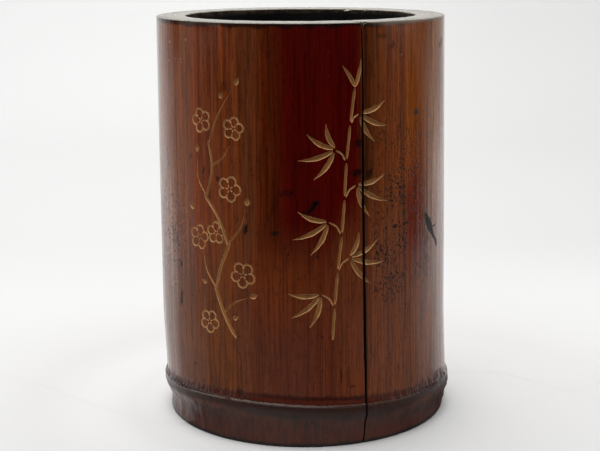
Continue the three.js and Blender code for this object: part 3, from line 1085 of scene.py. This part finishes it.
def rim_finish():
    """The sawn and polished end of the culm, with the ends of its fibre bundles; its pale grey ground
    is partly painted reflection of the bright backdrop on a darker cut end.
    """
    f = Finish("cut rim")
    x, y, z = f.xyz()
    across = f.put(
        "ShaderNodeVectorMath", {0: f.put("ShaderNodeCombineXYZ", {0: x, 1: y}).outputs[0]},
        operation="LENGTH",
    ).outputs["Value"]
    outward = f.band(f.times(across, 1000), 45, 55.5)
    cells = f.put("ShaderNodeTexVoronoi", {"Vector": f.place(), "Scale": 1350.0})
    dots = f.fade(cells.outputs["Distance"], 0.16, 0.42)
    # the pale grey here is partly painted reflection of the backdrop, not only the colour of the cut
    # end
    ground = f.blend(outward, (0.385, 0.36, 0.30), (0.26, 0.235, 0.185))
    stained = f.band(f.grain(7, 1, 3, 0.6, 2.0), 0.35, 0.7, 0.4, 0.0)
    ground = f.blend(stained, ground, (0.14, 0.11, 0.085))
    thick = f.scaled(outward, 0.22, 0.08)
    colour = f.blend(f.times(dots, thick), ground, (0.08, 0.05, 0.035))
    rough = f.band(f.grain(4, 1, 2, 0.6, 6.0), 0.3, 0.7, 0.22, 0.36)
    relief = f.bump(f.grain(0.9, 1, 2, 0.6, 7.0), 0.02, 0.4)
    relief = f.bump(f.grain(9.0, 1, 2, 0.6, 8.0), 0.08, 0.4, relief)
    return f.done(colour, rough, relief, Specular_IOR_Level=0.7)


def lining_finish():
    """The black inside: ink and old lacquer soaked into the pith."""
    f = Finish("ink-black lining")
    z = f.xyz()[2]
    height = f.times(z, 1000)
    patchy = f.grain(9, 2.5, 4, 0.6, 3.0)
    colour = f.blend(f.band(patchy, 0.4, 0.75), (0.0025, 0.002, 0.002), (0.008, 0.006, 0.005))
    worn = f.band(f.grain(2.5, 1, 3, 0.6, 5.0), 0.42, 0.6, 0.15, 0.75)
    rubbed = f.times(f.band(height, 153.5, 155.6), worn)
    colour = f.blend(rubbed, colour, (0.10, 0.065, 0.04))
    rough = f.band(patchy, 0.3, 0.7, 0.55, 0.75)
    relief = f.bump(f.grain(1.4, 14, 3, 0.6, 9.0), 0.08, 0.8)
    return f.done(colour, rough, relief, Specular_IOR_Level=0.15)


def carving_finish():
    """Bare bamboo in the carved strokes: pale at their sides, bare bamboo lightened as a painted
    highlight on the lit walls, gone golden brown along the bottom.
    """
    f = Finish("carved bamboo")
    depth = f.put("ShaderNodeAttribute", attribute_name="depth").outputs["Fac"]
    deep = f.plus(depth, f.wander(0.5, 0.5, 2, 2, 0.6, 2.0))
    # the pale colour at shallow depth is partly painted highlight, where the stroke's walls catch the
    # light
    colour = f.blend(f.band(deep, 0.45, 1.0), (0.95, 0.60, 0.29), (0.54, 0.235, 0.06))
    dirt = f.band(f.grain(2.4, 3, 3, 0.6, 4.0), 0.50, 0.74, 0.0, 0.5)
    colour = f.blend(dirt, colour, (0.16, 0.06, 0.018))
    relief = f.bump(f.grain(0.35, 5, 2, 0.6, 6.0), 0.04, 0.8)
    return f.done(colour, 0.5, relief, Specular_IOR_Level=0.35)


def split_finish():
    """Fibres laid open: the faces of the crack, and the sawn underside of the foot."""
    f = Finish("split bamboo")
    fibres = f.band(f.grain(0.6, 25, 3, 0.6, 2.0), 0.35, 0.65)
    colour = f.blend(fibres, (0.020, 0.010, 0.006), (0.062, 0.030, 0.015))
    height = f.xyz()[2]
    colour = f.blend(f.band(height, 0.1532, 0.1548, 0.0, 0.9), colour, (0.17, 0.13, 0.085))
    relief = f.bump(f.grain(0.5, 20, 2, 0.6, 4.0), 0.10, 0.9)
    return f.done(colour, 0.7, relief, Specular_IOR_Level=0.3)


def septum_finish():
    f = Finish("septum wood")
    patchy = f.grain(6, 1, 4, 0.6, 1.0)
    dust = f.band(f.grain(14, 1, 4, 0.65, 5.0), 0.45, 0.75, 0.0, 0.35)
    colour = f.blend(f.band(patchy, 0.35, 0.7), (0.009, 0.007, 0.006), (0.030, 0.021, 0.014))
    colour = f.blend(dust, colour, (0.075, 0.060, 0.045))
    relief = f.bump(f.grain(0.9, 1, 3, 0.65, 8.0), 0.09, 0.8)
    return f.done(colour, f.band(patchy, 0.3, 0.7, 0.55, 0.75), relief, Specular_IOR_Level=0.3)


def board_finish():
    """Close-grained dark hardwood, its grain running from side to side."""
    f = Finish("board wood")
    lie = f.put(
        "ShaderNodeMapping",
        {"Vector": f.place(), "Scale": (0.06, 1, 1), "Rotation": (0, 0, math.radians(8))},
    ).outputs[0]
    figure = f.put(
        "ShaderNodeTexNoise", {"Vector": lie, "Scale": 260.0, "Detail": 4.0, "Distortion": 0.4}
    ).outputs["Fac"]
    pores = f.put("ShaderNodeTexNoise", {"Vector": lie, "Scale": 1500.0, "Detail": 2.0}).outputs["Fac"]
    colour = f.blend(f.band(figure, 0.36, 0.64), (0.040, 0.018, 0.010), (0.105, 0.050, 0.025))
    colour = f.blend(f.band(pores, 0.34, 0.46, 0.7, 0.0), colour, (0.014, 0.007, 0.005))
    relief = f.bump(pores, 0.05, 0.7)
    return f.done(colour, f.band(figure, 0.3, 0.7, 0.36, 0.5), relief)


def pin_finish():
    f = Finish("bamboo pin")
    fibres = f.put("ShaderNodeTexVoronoi", {"Vector": f.place(), "Scale": 2600.0}).outputs["Distance"]
    streak = f.grain(0.35, 20, 2, 0.6, 2.0)
    colour = f.blend(f.band(streak, 0.35, 0.65), (0.30, 0.17, 0.07), (0.50, 0.31, 0.14))
    colour = f.blend(f.band(fibres, 0.12, 0.3, 0.7, 0.0), colour, (0.10, 0.045, 0.018))
    return f.done(colour, 0.55, f.bump(streak, 0.04, 0.8))


def dress(piece, finishes, node):
    slots = piece.data.materials
    for number, finish in enumerate(finishes):
        if number < len(slots):
            slots[number] = finish
        else:
            slots.append(finish)
    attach(piece, "root")
    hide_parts(node)


wall_piece = culm_wall()
dress(
    wall_piece,
    [skin_finish(), rim_finish(), lining_finish(), carving_finish(), split_finish()],
    "culm_wall",
)
dress(septum(), [septum_finish()], "node_septum")
dress(base_board(), [board_finish()], "base_board")
pin_wood = pin_finish()
for number, pin_angle in enumerate(PIN_ANGLES, 1):
    dress(base_pin(number, pin_angle), [pin_wood], f"base_pin_{number}")


# The table, the lights and the camera

def flat_sheet(name, rows, finish):
    """A sheet laid through rows of points, each row running from left to right."""
    shape = bmesh.new()
    lines = [[shape.verts.new(point) for point in row] for row in rows]
    for a, b in zip(lines, lines[1:]):
        for i in range(len(a) - 1):
            shape.faces.new((a[i], a[i + 1], b[i + 1], b[i])).smooth = True
    mesh = bpy.data.meshes.new(name)
    shape.to_mesh(mesh)
    shape.free()
    sheet = bpy.data.objects.new(name, mesh)
    bpy.context.scene.collection.objects.link(sheet)
    sheet.data.materials.append(finish)
    return sheet


def grey(tone):
    return (tone, tone, tone)


def paper_tone(tone):
    return (tone, tone, tone - 0.005)


def paper_finish():
    """White paper, its tone painting the light and shade on it: brightest round the pot's left side,
    dimmer behind the pot and to the right; outside the picture it is whiter, but darker towards the
    back right.
    """
    f = Finish("white paper")
    x, y, z = f.xyz()
    apart = f.apart(x, y)
    # painted light: the paper is brightest close round the pot's left foot, lightening its shadow
    # there
    left = f.blend(f.band(apart, 0.058, 0.074), paper_tone(0.98), paper_tone(0.87))
    left = f.blend(f.band(apart, 0.074, 0.118), left, paper_tone(0.735))
    right = f.blend(f.band(apart, 0.058, 0.130), paper_tone(0.82), paper_tone(0.74))
    near = f.blend(f.band(x, -0.03, 0.03), left, right)
    # painted shade: darker to the right and further back, as the light falls off
    across = f.band(x, -0.10, 0.25)
    middle = f.blend(across, paper_tone(0.695), paper_tone(0.65))
    far = f.blend(across, paper_tone(0.775), paper_tone(0.70))
    tone = f.blend(f.band(y, 0.10, 0.30), near, middle)
    tone = f.blend(f.band(y, 0.60, 1.0), tone, far)
    # outside the picture: whiter paper, with painted shade at the back right, setting what the skin
    # reflects
    outside = f.scaled(y, -0.24, f.off(x))
    shaded = f.times(f.band(y, 0.2, 0.9, 0.0, 0.8), f.band(x, 0.2, 0.4))
    card = f.blend(shaded, paper_tone(0.95), paper_tone(0.45))
    tone = f.blend(f.band(outside, 0.15, 0.20), tone, card)
    return f.done(tone, 0.85, f.bump(f.grain(0.5, 1, 2, 0.5, 2.0), 0.01, 0.3))


def paper_sweep(paper):
    """White paper: flat under the pot, then curving up behind it. Its front edge is near the pot."""
    across = (
        -1.8, -0.93, -0.63, -0.45, -0.34, -0.23, -0.15, -0.112, -0.085, -0.06,
        0.0, 0.04, 0.062, 0.085, 0.107, 0.153, 0.236, 0.342, 0.508, 0.737, 1.13, 1.8,
    )
    front = (
        0.6, 0.6, 0.53, 0.31, 0.157, 0.088, 0.039, 0.016, -0.01, -0.03,
        -0.03, -0.01, 0.03, 0.028, 0.004, 0.028, 0.07, 0.14, 0.213, 0.365, 0.484, 0.6,
    )
    rows = [[(x, y, 0) for x, y in zip(across, front)]]
    rows += [[(x, y, 0) for x in across] for y in (0.62, 0.68, 0.75)]
    bend = [math.radians(d) for d in range(6, 91, 6)]
    climb = [(0.75 + 0.45 * math.sin(a), 0.45 - 0.45 * math.cos(a)) for a in bend]
    rows += [[(x, y, z) for x in across] for y, z in climb + [(1.2, 0.8), (1.2, 1.6)]]
    flat_sheet("paper_sweep", rows, paper)


def table_top(paper):
    """The table: a pale sheet to the eye, over a dark cloth that alone shows in the pot's skin."""
    across = (-1.8, -0.6, 0.6, 1.8)
    rows = [[(x, y, -0.0015) for x in across] for y in (-1.6, -0.7, -0.4, -0.1, 0.3, 0.6)]
    f = Finish("dark cloth")
    x, y, z = f.xyz()
    # the cloth's tones, lighter and darker by place, are painted reflection: they set what the skin
    # reflects of the table
    tone = f.blend(f.band(y, -0.42, -0.12), grey(0.004), grey(0.20))
    tone = f.blend(f.band(x, -0.02, 0.05, 0.0, 0.7), tone, grey(0.004))
    dim = f.times(f.band(x, 0.06, 0.10), f.fade(x, 0.30, 0.42))
    tone = f.blend(f.times(dim, f.band(y, -0.30, -0.10)), tone, grey(0.25))
    tone = f.blend(f.times(dim, f.band(y, -0.045, 0.02)), tone, grey(0.57))
    slope = f.sum("DIVIDE", f.plus(y, 0.045), f.scaled(x, -1.0, -0.04))
    lighter = f.times(f.band(slope, -0.10, 0.08), f.fade(x, -0.09, -0.06))
    far_left = f.blend(f.fade(x, -1.6, -1.0), grey(0.52), grey(0.95))
    tone = f.blend(lighter, tone, far_left)
    apart = f.apart(x, y)
    aslant = f.sum("DIVIDE", f.off(x), f.times(y, -1.0))
    ring = f.times(f.fade(apart, 0.075, 0.11), f.fade(y, -0.03, -0.01))
    ring = f.times(ring, f.band(aslant, 0.3, 1.3, 0.70, 0.25))
    tone = f.blend(ring, tone, grey(0.95))
    flat_sheet("dark_cloth", rows, f.done(tone, 0.8))
    rows = [[(x, y, -0.00005) for x in across] for y in (-1.6, -0.7, -0.1, 0.3, 0.7)]
    cover = flat_sheet("pale_cover", rows, paper)
    cover.visible_glossy = False
    cover.visible_diffuse = False
    cover.visible_shadow = False


def side_card(name, x, whiter):
    """A card stood upright at one side, out of the picture, to show in the skin near the rim."""
    rows = [[(x, y, z) for y in (-0.7, -0.3, 0.1, 0.55)] for z in (0.0, 0.25, 0.5)]
    f = Finish(name)
    y = f.xyz()[1]
    tone = f.blend(f.band(y, whiter - 0.15, whiter + 0.15), (0.45, 0.44, 0.42), (0.94, 0.915, 0.86))
    flat_sheet(name, rows, f.done(tone, 0.85))


def soft_light(name, place, aim, width, height, power):
    lamp = bpy.data.lights.new(name, "AREA")
    lamp.shape = "RECTANGLE"
    lamp.size = width
    lamp.size_y = height
    lamp.energy = power
    holder = bpy.data.objects.new(name, lamp)
    holder.location = place
    holder.rotation_euler = (Vector(aim) - Vector(place)).to_track_quat("-Z", "Y").to_euler()
    bpy.context.scene.collection.objects.link(holder)


paper = paper_finish()
paper_sweep(paper)
table_top(paper)
side_card("left_card", -1.75, -0.1)
side_card("right_card", 1.75, 0.36)
soft_light("top light", (-0.10, 0.0, 1.2), (-0.04, 0.02, 0), 1.7, 1.6, 22)
soft_light("back light", (-0.2, 0.75, 1.25), (0, 1.2, 0.35), 1.6, 0.5, 5)
soft_light("left light", (-1.2, -0.25, 0.5), (0, 0, 0.04), 0.8, 0.9, 1.2)
soft_light("right light", (1.2, -0.2, 0.5), (0, 0, 0.08), 0.8, 0.9, 1.0)
soft_light("far right light", (1.25, 0.7, 0.75), (1.1, 0.75, 0), 0.8, 0.8, 2.4)

world = bpy.data.worlds.new("studio")
world.use_nodes = True
world.node_tree.nodes["Background"].inputs["Color"].default_value = (0.9, 0.95, 1.0, 1.0)
world.node_tree.nodes["Background"].inputs["Strength"].default_value = 0.04
bpy.context.scene.world = world
bpy.context.scene.view_settings.view_transform = "Standard"


def photo_camera(place, lens, pitch, yaw, roll):
    """A camera at a place in mm, looking along +Y turned by yaw, down by pitch and aslant by roll."""
    camera = bpy.data.cameras.new("camera")
    camera.sensor_width = 36
    camera.lens = lens
    ahead = Vector(
        (math.sin(yaw) * math.cos(pitch), math.cos(yaw) * math.cos(pitch), -math.sin(pitch))
    )
    right = Vector((math.cos(yaw), -math.sin(yaw), 0))
    overhead = right.cross(ahead)
    level_right = right * math.cos(roll) + overhead * math.sin(roll)
    level_up = overhead * math.cos(roll) - right * math.sin(roll)
    holder = bpy.data.objects.new("camera", camera)
    bpy.context.scene.collection.objects.link(holder)
    stand = Matrix((level_right, level_up, -ahead)).transposed().to_4x4()
    stand.translation = Vector(place) * MM
    holder.matrix_world = stand
    return holder


# as in the photo, worked out from the pot's rim, foot and sides there
pitch, yaw, roll = (math.radians(turn) for turn in (12.43, -0.18, -0.52))
bpy.context.scene.camera = photo_camera((-0.47, -506.2, 183.9), 77.4, pitch, yaw, roll)

let_go()
